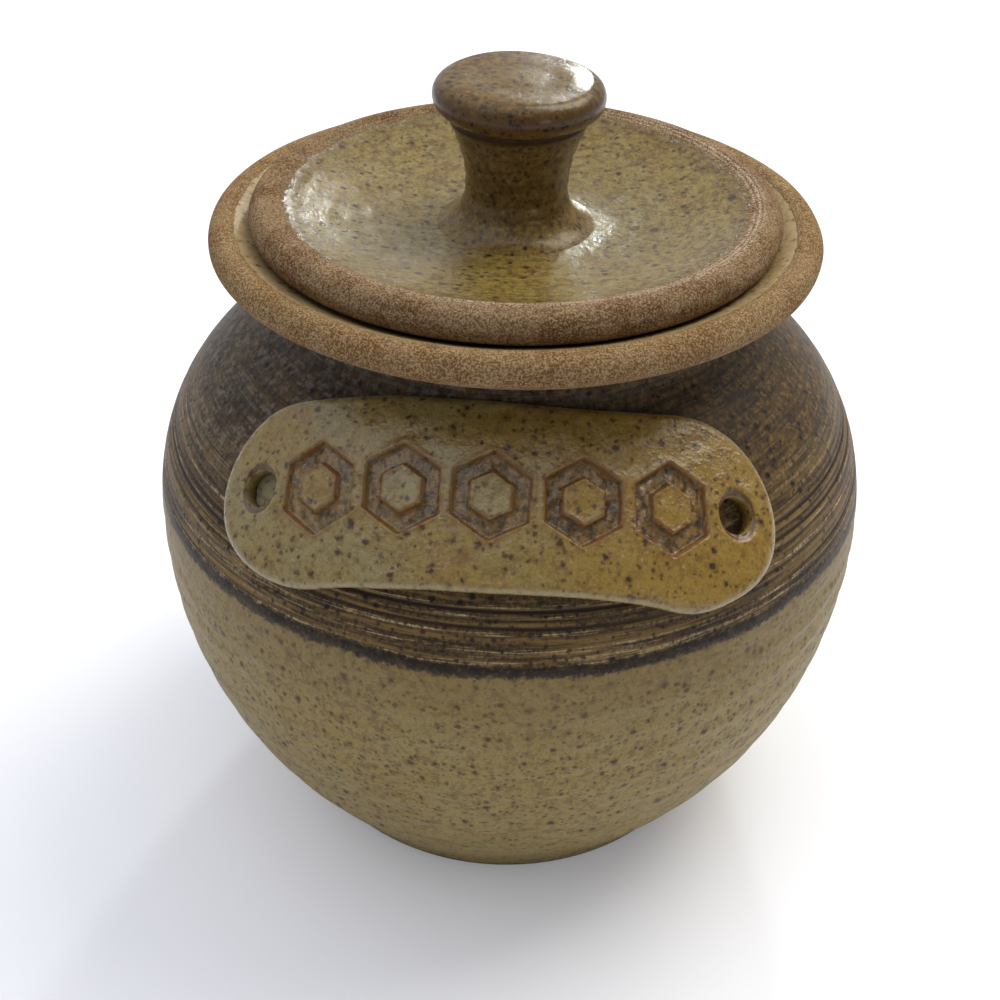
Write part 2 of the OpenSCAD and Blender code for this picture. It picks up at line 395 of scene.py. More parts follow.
    def build(self) -> bpy.types.Object:
        """Throw the body, with its rings, combed grooves and the slight unrest of a hand-made rim.

        The surface moves along its normal by rings, a sine that climbs one pitch a turn, and by
        grooves, a power of a sine between the comb's lowest and highest tooth.
        """
        path, outside = self.profile()
        shape = Thrown("stoneware_pot", path, self.turns)
        run, inner_path, turn = shape.grid()
        height = inner_path[:, 1:]
        on_outside = (np.arange(len(inner_path)) < outside - 1)[:, None]
        lower = on_outside * ease(height, 1.5, 7.0) * (1 - ease(height, 56.0, 60.0))
        climb = TURN * height / self.ring_pitch - turn
        rings = np.sin(climb + 0.6 * unrest(turn, run, 3, 4, 30.0))
        fine = 0.3 * np.sin(TURN * height / 1.37 - turn + 1.2 * unrest(turn, run, 5, 6, 9.0))
        strength = 0.55 + 0.45 * unrest(turn, run, 4, 3, 25.0)
        swell = lower * self.ring_depth * (strength * rings + fine - 1.1)
        tooth = self.combing(height, turn, run)
        swell = swell - on_outside * self.comb_depth * tooth
        swell = swell - on_outside * 0.25 * ease(height, 20, 50) * (1 + unrest(turn, run * 0, 8, 3)) / 2
        top = ease(height, 92.0, 99.0) * on_outside + ease(height, 96.5, 100.0) * (1 - on_outside)
        lift = top * (0.16 * unrest(turn, run * 0, 9, 4) - 0.1)
        ripple = 0.06 * unrest(turn, run, 10, 16, 3.0) * ease(height, 95, 98)
        swell = swell + ripple
        lip_top = self.neck_z + self.lip_rise
        bare_out = on_outside * ease(height, lip_top - 4.2, lip_top - 2.6)
        slope_r = inner_path[:, :1]
        bare_in = (1 - on_outside) * ease(slope_r, self.lip_r - 3.4, self.lip_r + 0.8)
        masks = {
            "bare": np.maximum(bare_out, bare_in * ease(height, 98.0, 100.5)) + 0 * turn,
            "inner": (1.0 - on_outside) + 0 * turn,
            "comb": on_outside * tooth + 0 * turn,
        }
        return shape.build(swell, lift, masks)

    def combing(self, height: Array, turn: Array, run: Array) -> Array:
        """Grooves drawn by a toothed rib while the pot turned.

        Args:
            height: Height of each ring of vertices.
            turn: Angle round the axis.
            run: Length along the profile.

        Returns:
            Depth of the groove, 0 to 1, with the band's soft ends worked in.
        """
        wander = 0.42 * unrest(turn, run * 0, 21, 3) + 0.22 * unrest(turn, run, 22, 5, 14.0)
        level = height + wander
        zone = ease(level, self.comb_low, self.comb_low + 0.8)
        zone = zone * (1 - ease(level, self.comb_high - 5.0, self.comb_high))
        phase = TURN * level / self.comb_pitch
        grooves = (0.5 + 0.5 * np.sin(phase)) ** 1.7
        second = (0.5 + 0.5 * np.sin(phase * 0.61 + 1.1 * unrest(turn, run, 24, 4, 8.0))) ** 2.5
        pressure = np.clip(0.62 + 0.5 * unrest(turn, run, 23, 6, 5.0), 0.08, 1.2)
        return np.clip(zone * pressure * (0.7 * grooves + 0.5 * second), 0.0, 1.3)


# The lid and its knob


@dataclass
class Lid:
    """The dished lid, lying loose in the gallery of a pot."""

    pot: Pot
    margin: float = 3.6
    roll: float = 2.6
    gap: float = 0.3
    thick: float = 5.0
    dish_depth: float = 5.0
    dish_slope: float = 20.0
    seat_r: float = 11.5
    turns: int = 288

    def middle(self) -> Array:
        """Middle of the rolled rim: a gap and a roll away from the gallery, square to it."""
        radius = self.pot.lip_r - self.margin - self.roll
        rise = (self.roll + self.gap) / math.cos(math.radians(self.pot.gallery_slope))
        return np.array([radius, self.pot.gallery_z(radius) + rise])

    def dish_z(self) -> float:
        """Height of the flat middle of the dish."""
        return float(self.middle()[1] + self.roll - self.dish_depth)

    def climb(self, low: float, edge: Array, slope: float) -> Array:
        """A curve from the flat middle to the rim whose height is a power of the way out.

        Args:
            low: Height of the flat middle.
            edge: Point where the curve meets the rim.
            slope: Slope there, in degrees, which sets the power.

        Returns:
            Points from the middle outwards.
        """
        power = math.tan(math.radians(slope)) * (edge[0] - self.seat_r) / (edge[1] - low)
        share = np.linspace(0.0, 1.0, 80)
        radii = self.seat_r + (edge[0] - self.seat_r) * share
        return np.stack([radii, low + (edge[1] - low) * share**power], axis=1)

    def build(self) -> bpy.types.Object:
        """Throw the lid: underside, rolled rim with a narrow ridge on its crest, and glazed dish."""
        middle, low = self.middle(), self.dish_z()
        under_slope = self.pot.gallery_slope - 5.0
        out, down = math.sin(math.radians(under_slope)), math.cos(math.radians(under_slope))
        under_edge = middle + self.roll * np.array([out, -down])
        lean = math.radians(self.dish_slope)
        dish_edge = middle + self.roll * np.array([-math.sin(lean), math.cos(lean)])
        under = self.climb(low - self.thick, under_edge, under_slope)
        dish = self.climb(low, dish_edge, self.dish_slope)[::-1]
        path = chain(
            even(np.array([[0.0, low - self.thick], under[0]]), 3.0),
            even(under, 1.2),
            even(arc(middle, self.roll, under_slope - 90, 90 + self.dish_slope), 0.22),
            even(dish[dish[:, 0] > 31.0], 0.2),
            even(dish[dish[:, 0] <= 31.0], 0.55),
            even(np.array([dish[-1], [0.0, low]]), 3.0),
        )
        shape = Thrown("dished_lid", path, self.turns)
        run, inner_path, turn = shape.grid()
        radius, height = inner_path[:, :1], inner_path[:, 1:]
        upper = (outward(path)[1:-1, 1:] > 0.0) * 1.0
        crest = bell(radius, middle[0] - 1.1, 1.0) * upper
        ridges = crest * np.sin(TURN * radius / 0.72 + 0.5 * unrest(turn, run * 0, 37, 3))
        in_dish = upper * (1 - ease(radius, 32.0, 34.5)) * ease(radius, self.seat_r, self.seat_r + 3.0)
        rings = np.sin(TURN * radius / 3.1 - turn + 0.8 * unrest(turn, run, 31, 3, 20.0))
        swell = in_dish * (0.008 * rings + 0.09 * unrest(turn, run, 32, 3, 24.0))
        swell = swell + 0.075 * ridges * (0.8 + 0.5 * unrest(turn, run, 33, 5, 9.0))
        rim = ease(radius, 33.5, 35.5)
        swell = swell + rim * 0.045 * unrest(turn, run, 34, 22, 1.6) - 0.05 * rim
        lift = 0.12 * unrest(turn, run * 0, 35, 3) * ease(radius, 30.0, 36.0) * upper
        bare = np.maximum(1 - upper, ease(radius, middle[0] - 5.4, middle[0] + 0.4))
        masks = {
            "bare": bare + 0 * turn,
            # painted highlight: pale on the ridge tops of the rim's crest, strongest towards the right
            "crest": np.clip(crest * (0.6 + 0.7 * ridges) * (0.5 + 0.6 * np.sin(turn + 0.3)), 0.0, 1.0),
            "thin": upper * ease(radius, 26.0, 34.0) + 0 * turn,
            "crease": 0 * radius + 0 * turn,
        }
        return shape.build(swell + 0 * turn, lift + 0 * turn, masks)


@dataclass
class Knob:
    """The knob: a flared stem and a flat cap, thrown onto the middle of a lid."""

    lid: Lid
    height: float = 22.0
    stem_r: float = 7.45
    waist: float = 5.9
    crease_r: float = 9.85
    crease_drop: float = 3.5
    cap_r: float = 12.2
    cap_roll: float = 2.55
    cap_dome: float = 0.4
    turns: int = 160

    def build(self) -> bpy.types.Object:
        """Throw the knob: flare, waist, crease under the cap, rolled edge and uneven top."""
        low = self.lid.dish_z()
        foot_r = self.lid.seat_r
        waist = np.array([self.stem_r, low + self.waist])
        cap = np.array([self.cap_r - self.cap_roll, low + self.height - self.cap_dome - self.cap_roll])
        crease = np.array([self.crease_r, cap[1] - self.crease_drop])
        flare = bend((foot_r + 0.9, low - 0.12), (self.stem_r + 2.2, low + 0.05),
                     tuple(waist - [0.0, 0.6 * self.waist]), tuple(waist))
        stem = bend(tuple(waist), tuple(waist + [0.0, 0.6 * self.waist]),
                    tuple(crease - [1.2, 2.8]), tuple(crease))
        edge = arc(cap, self.cap_roll, -52, 84)
        notch = np.array([crease, crease + [0.12, 0.35], crease + [-0.05, 0.6], edge[0]])
        top = bend(tuple(edge[-1]), tuple(edge[-1] + [-2.5, 0.28]), (3.5, low + self.height),
                   (0.0, low + self.height))
        path = chain(
            even(np.array([[0.0, low - 0.6], [foot_r - 1.0, low - 0.6], [foot_r + 0.9, low - 0.12]]), 3.0),
            even(flare, 0.4), even(stem, 0.4), even(notch, 0.25), even(edge, 0.25), even(top, 0.6),
        )
        shape = Thrown("mushroom_knob", path, self.turns)
        run, inner_path, turn = shape.grid()
        radius, height = inner_path[:, :1], inner_path[:, 1:]
        rise = height - low
        in_cap = ease(height, crease[1] - 0.6, crease[1] + 1.5)
        on_stem = ease(rise, 1.0, 3.5) * (1 - in_cap)
        rings = np.sin(TURN * height / 2.3 - turn + unrest(turn, run, 41, 2, 9.0))
        swell = on_stem * (0.06 * rings + 0.1 * unrest(turn, run, 42, 3, 12.0))
        swell = swell - in_cap * 0.13 * (1 + unrest(turn, run * 0, 43, 4)) * ease(radius, 3.0, 10.0)
        top_side = (outward(path)[1:-1, 1:] > 0.6) * 1.0
        dents = unrest(turn * 1.0, radius * 4.0, 44, 3, 30.0)
        swell = swell - top_side * 0.16 * (1 + dents * ease(radius, 2.0, 8.0)) * ease(11.5 - radius, 0.0, 3.0)
        tilt = -0.22 * np.cos(turn - 0.9) * radius / self.cap_r - 0.22
        masks = {
            "bare": 0 * turn + 0 * radius,
            "crest": 0 * turn + 0 * radius,
            # painted shade: the 0.75 on the stem browns it where the cap shades it; the cap's own share is
            # glaze breaking brown
            "thin": bell(height, cap[1], 2.3) * in_cap + 0.35 * in_cap + 0.75 * on_stem + 0 * turn,
            # painted shade: a dark band in the crease under the cap
            "crease": bell(height, crease[1] + 0.2, 0.9) + 0 * turn,
        }
        return shape.build(swell + 0 * turn, in_cap * tilt, masks)


# The plaque


@dataclass
class Plaque:
    """A slab with round ends, bent round the shoulder of a pot, pierced twice and stamped."""

    pot: Pot
    length: float = 84.0
    end: float = 18.0
    height: float = 25.0
    thick: float = 3.4
    press: float = 0.95
    drop: float = 9.6
    curve: float = 70.0
    sag: float = 7.5
    tilt: float = 0.006
    shift: float = -2.2
    hole_d: float = 5.2
    hole_inset: float = 7.6
    cells: int = 5
    cell_pitch: float = 11.966
    cell_r: float = 6.1
    island_r: float = 3.1
    cell_depth: float = 1.15
    soften: float = 1.35
    rows: int = 150
    columns: int = 400
    lean: float = field(init=False)
    hub: Array = field(init=False)

    def __post_init__(self) -> None:
        """Find the slope of the shoulder where the slab sits, and the hub that it bends about."""
        seat = self.pot.neck_z - self.drop
        probe = 0.4
        run = (self.pot.side_r(seat - probe) - self.pot.side_r(seat + probe)) / (2 * probe)
        self.lean = math.atan2(1.0, float(run))
        out = np.array([math.sin(self.lean), math.cos(self.lean)])
        middle = np.array([float(self.pot.side_r(seat)), seat]) + (self.thick - self.press) * out
        self.hub = middle - self.curve * out

    def place(self, along: Array, up: Array, proud: Array) -> Array:
        """Bend flat slab coordinates round the shoulder.

        The middle line droops as the square of the way along and falls to the right. Height up
        the slope is then an angle about the hub, and the way along is an angle about the axis.

        Args:
            along: Way along the slab from its middle.
            up: Height above the middle line.
            proud: Distance outside the slab's face.

        Returns:
            Points in the frame of the pot, one row each.
        """
        hole_at = self.length / 2 - self.hole_inset
        climb = up - self.sag * (along / hole_at) ** 2 - self.tilt * along
        lean = self.lean - climb / self.curve
        face_r = self.hub[0] + self.curve * np.sin(lean)
        radius = self.hub[0] + (self.curve + proud) * np.sin(lean)
        height = self.hub[1] + (self.curve + proud) * np.cos(lean)
        turn = (along + self.shift) / face_r
        return np.stack([radius * np.sin(turn), -radius * np.cos(turn), height], axis=-1)

    def stamp(self, along: Array, up: Array) -> tuple[Array, Array]:
        """Depth that the six-sided stamps left, and the wall that surrounds each hollow.

        The distance to a six-sided outline is the largest of three turned axis distances. A
        hollow lies inside the outer outline and outside the island's.

        Args:
            along: Way along the slab.
            up: Height above its middle line.

        Returns:
            Depth of the hollow, 0 to 1, and nearness to a stamped edge, 0 to 1.
        """
        draw = np.random.default_rng(12)
        deep, wall = np.zeros(along.shape), np.zeros(along.shape)
        for cell in range(self.cells):
            middle = (cell - (self.cells - 1) / 2) * self.cell_pitch
            twist, size = draw.uniform(-0.07, 0.07), draw.uniform(0.95, 1.0)
            force = draw.uniform(0.82, 1.0)
            x, y = along - middle - draw.uniform(-0.15, 0.15), up - draw.uniform(-0.3, 0.3)
            outline = np.zeros(along.shape)
            for side in range(3):
                angle = twist + side * math.pi / 3
                outline = np.maximum(outline, np.abs(x * math.cos(angle) + y * math.sin(angle)))
            flat = math.cos(math.pi / 6)
            outer = outline - self.cell_r * size * flat
            inner = self.island_r * flat - outline
            edge = np.maximum(outer, inner)
            deep = np.maximum(deep, force * (1 - ease(edge, -0.34, 0.04)))
            wall = np.maximum(wall, bell(edge, 0.0, 0.42))
        return deep, wall

    def sheet(self, face: bool) -> tuple[Array, dict[str, Array]]:
        """One side of the slab on a grid that crowds towards its rounded edge.

        Rows and columns step by a cosine, so that they crowd at the edge. The face sinks there
        by a quarter circle, and by the stamps and the softened rims of the holes.

        Args:
            face: True for the face, False for the back.

        Returns:
            The grid of points and its masks.
        """
        half = self.height / 2
        row = -np.cos(np.linspace(0.0, math.pi, self.rows))[:, None]
        row = 0.5 * row + 0.5 * np.linspace(-1.0, 1.0, self.rows)[:, None]
        column = -np.cos(np.linspace(0.0, math.pi, self.columns))[None, :]
        column = 0.45 * column + 0.55 * np.linspace(-1.0, 1.0, self.columns)[None, :]
        column = np.sign(column) * (1 - (1 - np.abs(column)) ** 1.25)
        up = half * row + 0 * column
        straight = self.length / 2 - self.end
        along = column * (straight + self.end / half * np.sqrt(np.maximum(half**2 - up**2, 0.0)))
        past = np.maximum(np.abs(along) - straight, 0.0) * half / self.end
        inset = np.clip(half - np.hypot(past, up), 0.0, self.soften)
        rim = self.soften - np.sqrt(np.maximum(self.soften**2 - (self.soften - inset) ** 2, 0.0))
        edge = 1 - ease(half - np.hypot(past, up), 0.2, 2.0)
        hole_at = self.length / 2 - self.hole_inset
        from_hole = np.hypot(np.abs(along) - hole_at, up) - self.hole_d / 2
        deep, wall = self.stamp(along, up)
        lumps = 0.1 * unrest(along * 0.11, up, 51, 6, 14.0)
        lumps = lumps + 0.05 * unrest(along * 0.35, up, 52, 7, 5.0)
        outline = self.cut_by_hand(along, up) + 0.1 * unrest(along * 0.12, 0 * up, 53, 5)
        outline = outline * (up / half) ** 2
        if face:
            proud = -rim - self.cell_depth * deep + 0.14 * wall * (1 - deep) + lumps * (1 - edge)
            proud = proud - 0.55 * bell(np.maximum(from_hole, 0.0), 0.0, 0.45)
            proud = proud + deep * 0.16 * unrest(along * 0.9, up, 54, 7, 2.5)
        else:
            join = inset / self.soften
            proud = -self.thick * join - self.soften * (1 - join)
        spread = self.stand_off(along, up)
        points = self.place(along, up + np.sign(up) * outline, proud + spread)
        masks = {
            "stamp": deep * face + 0 * along,
            "wall": wall * face + 0 * along,
            "edge": edge,
            "hole": 1 - ease(from_hole, 0.1, 1.1),
            "amber": ease(along, -18.0, 26.0),
        }
        return points, masks

    def hole_foot(self, side: int) -> tuple[float, float, float]:
        """Where the left (-1) or right (1) hole ends behind the slab, in millimetres."""
        along = np.array([side * (self.length / 2 - self.hole_inset)])
        x, y, z = self.place(along, np.array([0.0]), np.array([-self.thick]))[0]
        return (float(x), float(y), float(z))

    def cut_by_hand(self, along: Array, up: Array) -> Array:
        """How far the knife strayed outwards: a bulge over the middle and two low corners."""
        over = 0.9 * bell(along, -2.0, 14.0) - 0.3 * bell(along, 24.0, 8.0)
        over = over - 1.1 * bell(along, -27.0, 8.0)
        under = 0.8 * bell(along, 28.0, 6.0) + 0.35 * bell(along, -28.0, 7.0)
        return np.where(up > 0, over, under)

    def stand_off(self, along: Array, up: Array) -> Array:
        """How far the slab's right-hand lower corner curls away from the pot."""
        corner = ease(along, 4.0, 34.0) * ease(-up, -4.0, self.height / 2)
        return 0.35 * corner - 0.25 * ease(-along, 20.0, 40.0)

    def build(self) -> bpy.types.Object:
        """Join face and back along the outline that they share, then pierce the two holes."""
        face, face_masks = self.sheet(True)
        back, back_masks = self.sheet(False)
        rows, columns = self.rows, self.columns
        number = np.arange(rows * columns).reshape(rows, columns)
        behind = rows * columns + number
        rim = np.zeros((rows, columns), bool)
        rim[[0, -1], :] = True
        rim[:, [0, -1]] = True
        behind = np.where(rim, number, behind)

        def quads(grid: Array, flip: bool) -> Array:
            """Faces of one side, turned the other way round for the back."""
            cells = np.stack([grid[:-1, :-1], grid[:-1, 1:], grid[1:, 1:], grid[1:, :-1]], axis=-1)
            cells = cells.reshape(-1, 4)
            return cells[:, ::-1] if flip else cells

        all_quads = np.concatenate([quads(number, False), quads(behind, True)])
        points = np.concatenate([face.reshape(-1, 3), back.reshape(-1, 3)])
        masks = {
            key: np.concatenate([face_masks[key].ravel(), back_masks[key].ravel()]) for key in face_masks
        }
        used, renumbered = np.unique(all_quads, return_inverse=True)
        corners, starts = face_lists(renumbered.reshape(-1, 4), np.zeros((0, 3), int))
        masks = {key: mask[used] for key, mask in masks.items()}
        slab = mesh_piece("pressed_plaque", points[used], corners, starts, masks)
        for side in (-1, 1):
            self.pierce(slab, side * (self.length / 2 - self.hole_inset))
        return slab

    def pierce(self, slab: bpy.types.Object, along: float) -> None:
        """Cut one round hole square through the slab and keep only the result.

        Args:
            slab: The slab to cut.
            along: Way along the slab of the hole's middle.
        """
        at = np.array([along]), np.array([0.0])
        inner = self.place(*at, np.array([-3 * self.thick]))[0]
        outer = self.place(*at, np.array([3 * self.thick]))[0]
        axis = (outer - inner) / np.linalg.norm(outer - inner)
        side = np.cross(axis, [0.0, 0.0, 1.0])
        side = side / np.linalg.norm(side)
        over = np.cross(axis, side)
        steps = 72
        turn = np.arange(steps)[:, None] * TURN / steps
        ring = self.hole_d / 2 * (np.cos(turn) * side + np.sin(turn) * over)
        count = np.arange(steps)
        beside = (count + 1) % steps
        walls = np.stack([count, beside, beside + steps, count + steps], axis=1)
        caps = np.concatenate([count[::-1], count + steps])
        corners = np.concatenate([walls.ravel(), caps])
        starts = np.concatenate([np.arange(steps) * 4, 4 * steps + np.array([0, steps])])
        cutter = mesh_piece("cutter", np.concatenate([inner + ring, outer + ring]), corners, starts, {})
        cut = slab.modifiers.new("hole", "BOOLEAN")
        cut.operation, cut.solver, cut.object = "DIFFERENCE", "EXACT", cutter
        depsgraph = bpy.context.evaluated_depsgraph_get()
        result = bpy.data.meshes.new_from_object(slab.evaluated_get(depsgraph))
        slab.modifiers.clear()
        slab.data = result
        result.name = slab.name
        bpy.data.objects.remove(cutter)


# Shader nodes


class NodeSheet:
    """Adds nodes to one tree and joins them."""

    def __init__(self, tree: bpy.types.NodeTree) -> None:
        """Remember the tree."""
        self.tree = tree

    def add(self, kind: str, **settings: object) -> bpy.types.Node:
        """Add a node and set its properties."""
        node = self.tree.nodes.new(kind)
        for name, value in settings.items():
            setattr(node, name, value)
        return node

    def feed(self, value: Value, socket: Socket) -> None:
        """Link another socket's output into a socket, or write a plain value on it."""
        if isinstance(value, bpy.types.NodeSocket):
            self.tree.links.new(value, socket)
        else:
            socket.default_value = value

    def math(self, operation: str, *values: Value, clamp: bool = False) -> Socket:
        """Work out one number from one to three others."""
        node = self.add("ShaderNodeMath", operation=operation, use_clamp=clamp)
        for value, socket in zip(values, node.inputs):
            self.feed(value, socket)
        return node.outputs[0]

    def times(self, first: Value, second: Value) -> Socket:
        """Multiply two numbers."""
        return self.math("MULTIPLY", first, second)

    def linear(self, value: Value, slope: Value, start: Value) -> Socket:
        """A number times a slope, plus a start."""
        return self.math("MULTIPLY_ADD", value, slope, start)

    def lay(self, under: Value, over: Value, share: Value, strength: float) -> Socket:
        """Lay one colour over another where a share says so, no stronger than a strength."""
        return self.mix(self.times(share, strength), under, over)

    def vector(self, operation: str, *values: Value) -> Socket:
        """Work out one vector from others; a scale goes in as the last value."""
        node = self.add("ShaderNodeVectorMath", operation=operation)
        sockets = [node.inputs[0], node.inputs[3]] if operation == "SCALE" else node.inputs[:3]
        for value, socket in zip(values, sockets):
            self.feed(value, socket)
        return node.outputs[0]

    def mix(self, share: Value, first: Value, second: Value) -> Socket:
        """Mix two colours by a share."""
        node = self.add("ShaderNodeMix", data_type="RGBA")
        for value, number in ((share, 0), (first, 6), (second, 7)):
            self.feed(value, node.inputs[number])
        return node.outputs[2]

    def fade(self, value: Value, low: Value, high: Value) -> Socket:
        """Smooth step from 0 at low to 1 at high."""
        node = self.add("ShaderNodeMapRange", interpolation_type="SMOOTHSTEP")
        for item, number in ((value, 0), (low, 1), (high, 2)):
            self.feed(item, node.inputs[number])
        return node.outputs[0]

    def noise(self, where: Value, scale: Value, detail: float = 3.0, rough: float = 0.55) -> Socket:
        """Cloudy noise at a scale given in features for each millimetre."""
        node = self.add("ShaderNodeTexNoise")
        self.feed(where, node.inputs["Vector"])
        self.feed(scale, node.inputs["Scale"])
        node.inputs["Detail"].default_value = detail
        node.inputs["Roughness"].default_value = rough
        return node.outputs["Fac"]

    def patches(
        self, where: Value, scale: float, low: float, high: float, rough: float = 0.6
    ) -> Socket:
        """Noise drawn apart into patches: 0 where it lies under low, 1 where over high."""
        return self.fade(self.noise(where, scale, 4.0, rough), low, high)

    def mask(self, name: str) -> Socket:
        """Read a value that the mesh carries for each vertex."""
        return self.add("ShaderNodeAttribute", attribute_name=name).outputs["Fac"]

    def split(self, vector: Socket) -> tuple[Socket, Socket, Socket]:
        """Part a vector into its three numbers."""
        node = self.add("ShaderNodeSeparateXYZ")
        self.feed(vector, node.inputs[0])
        return node.outputs[0], node.outputs[1], node.outputs[2]

    def group(self, tree: bpy.types.NodeTree, **values: Value) -> bpy.types.Node:
        """Place a shared effect and feed its inputs, named as they are there."""
        node = self.add("ShaderNodeGroup", node_tree=tree)
        for name, value in values.items():
            self.feed(value, node.inputs[name.capitalize()])
        return node


class Effects:
    """Shader node groups that more than one finish uses, each built once."""

    def __init__(self) -> None:
        """Build every group."""
        self.specks = self.iron_specks()
        self.streaks = self.wheel_streaks()
        self.grain = self.dry_grain()
        self.skin = self.glaze_skin()

    @staticmethod
    def open_group(name: str, inputs: tuple[str, ...], outputs: tuple[str, ...]) -> tuple:
        """Make an empty group whose first input is a place and whose other sockets are numbers.

        Args:
            name: Name of the group.
            inputs: Names of its inputs after the place.
            outputs: Names of its outputs.

        Returns:
            The tree, a sheet on it, its given values by name and its output node.
        """
        tree = bpy.data.node_groups.new(name, "ShaderNodeTree")
        tree.interface.new_socket("Place", in_out="INPUT", socket_type="NodeSocketVector")
        for socket_name in inputs:
            tree.interface.new_socket(socket_name, in_out="INPUT", socket_type="NodeSocketFloat")
        for socket_name in outputs:
            tree.interface.new_socket(socket_name, in_out="OUTPUT", socket_type="NodeSocketFloat")
        sheet = NodeSheet(tree)
        given = sheet.add("NodeGroupInput").outputs
        return tree, sheet, given, sheet.add("NodeGroupOutput")

    def iron_specks(self) -> bpy.types.NodeTree:
        """Specks of iron that burn through a glaze: some cells of a scatter hold a round spot."""
        tree, sheet, given, result = self.open_group(
            "iron specks", ("Spacing", "Share", "Size", "Seed"), ("Mask", "Halo")
        )
        warp = sheet.add("ShaderNodeTexNoise")
        sheet.feed(given["Place"], warp.inputs["Vector"])
        warp.inputs["Scale"].default_value = 1.6
        bent = sheet.vector("ADD", given["Place"], sheet.vector("SCALE", warp.outputs["Color"], 0.8))
        seeded = sheet.vector("ADD", bent, sheet.times(given["Seed"], 17.3))
        cells = sheet.add("ShaderNodeTexVoronoi")
        sheet.feed(sheet.vector("SCALE", seeded, sheet.math("DIVIDE", 1.0, given["Spacing"])),
                   cells.inputs["Vector"])
        cells.inputs["Scale"].default_value = 1.0
        draw = sheet.add("ShaderNodeSeparateColor")
        sheet.feed(cells.outputs["Color"], draw.inputs[0])
        held = sheet.math("LESS_THAN", draw.outputs[0], given["Share"])
        size = sheet.times(given["Size"], sheet.linear(draw.outputs[1], 0.6, 0.4))
        for name, outer, inner in (("Mask", 1.0, 0.55), ("Halo", 1.7, 0.7)):
            spot = sheet.fade(cells.outputs["Distance"], sheet.times(size, outer),
                              sheet.times(size, inner))
            sheet.feed(sheet.times(spot, held), result.inputs[name])
        return tree

    def wheel_streaks(self) -> bpy.types.NodeTree:
        """Streaks left by the wheel: noise drawn out round the axis and fine along the profile."""
        tree, sheet, given, result = self.open_group(
            "wheel streaks", ("Run", "Fineness", "Length", "Seed"), ("Value",)
        )
        x, y, _ = sheet.split(given["Place"])
        thin = sheet.math("DIVIDE", 1.0, given["Length"])
        drawn = sheet.add("ShaderNodeCombineXYZ")
        sheet.feed(sheet.times(x, thin), drawn.inputs[0])
        sheet.feed(sheet.times(y, thin), drawn.inputs[1])
        sheet.feed(sheet.math("ADD", given["Run"], sheet.times(given["Seed"], 31.7)),
                   drawn.inputs[2])
        value = sheet.noise(drawn.outputs[0], given["Fineness"], 4.0, 0.62)
        sheet.feed(sheet.fade(value, 0.32, 0.68), result.inputs["Value"])
        return tree

    def dry_grain(self) -> bpy.types.NodeTree:
        """The sandy skin of bare fired clay: light and dark grains, and pits between them."""
        results = ("Light", "Dark", "Height")
        tree, sheet, given, result = self.open_group("dry grain", ("Fineness",), results)
        where, fine = given["Place"], given["Fineness"]
        grains = sheet.noise(where, fine, 2.0, 0.75)
        coarse = sheet.noise(where, sheet.times(fine, 0.5), 3.0, 0.65)
        both = sheet.linear(coarse, 0.25, sheet.times(grains, 0.75))
        sheet.feed(sheet.fade(both, 0.5, 0.6), result.inputs["Light"])
        sheet.feed(sheet.fade(both, 0.51, 0.41), result.inputs["Dark"])
        sheet.feed(both, result.inputs["Height"])
        return tree

    def glaze_skin(self) -> bpy.types.NodeTree:
        """The skin of a stoneware glaze: slow waves under a fine orange peel."""
        tree, sheet, given, result = self.open_group("glaze skin", ("Peel",), ("Height",))
        waves = sheet.noise(given["Place"], 0.35, 2.0, 0.5)
        peel = sheet.noise(given["Place"], 1.5, 3.0, 0.6)
        sheet.feed(sheet.linear(peel, given["Peel"], waves), result.inputs["Height"])
        return tree


@dataclass(frozen=True)
class GlazeColours:
    """The colours that one glaze shows: thick, warmer, broken brown, its specks and pale flecks."""

    thick: Colour
    warm: Colour
    brown: Colour
    iron: Colour
    pale: Colour


@dataclass(frozen=True)
class ClayColours:
    """The colours of bare toasted clay."""

    body: Colour
    light: Colour
    dark: Colour
    blush: Colour


@dataclass(frozen=True)
class SlipColours:
    """The colours of iron slip: its darker and lighter patches, ochre, worn places, streaks, specks."""

    dark: Colour
    light: Colour
    ochre: Colour
    worn: Colour
    streak: Colour
    iron: Colour
    halo: Colour


SHOULDER_SLIP = SlipColours(
    dark=clay(50, 41, 34), light=clay(80, 64, 44), ochre=clay(138, 108, 58), worn=clay(118, 108, 98),
    streak=clay(38, 29, 25), iron=clay(28, 20, 20), halo=clay(54, 42, 36),
)
COMBED_SLIP = SlipColours(
    dark=clay(60, 46, 34), light=clay(106, 84, 52), ochre=clay(136, 110, 64), worn=clay(194, 174, 136),
    streak=clay(38, 28, 24), iron=clay(28, 20, 17), halo=clay(54, 41, 32),
)
GROOVE = clay(42, 31, 25)
LINE_INK, LINE_WORN = clay(30, 21, 18), clay(74, 59, 47)
DROP_PALE, DROP_BROWN = clay(150, 143, 112), clay(104, 90, 62)
FOOT_CLAY = clay(84, 62, 44)
CREASE_SHADE = clay(40, 28, 20)
CREST_HIGHLIGHT = clay(204, 184, 162)
HOLLOW_DARK, HOLLOW_LIGHT = clay(60, 43, 25), clay(138, 106, 58)
RUST, HOLE_RUST, STAIN = clay(124, 76, 36), clay(84, 54, 32), clay(122, 84, 44)
PALE_EDGE_AND_HIGHLIGHT = clay(176, 162, 122)

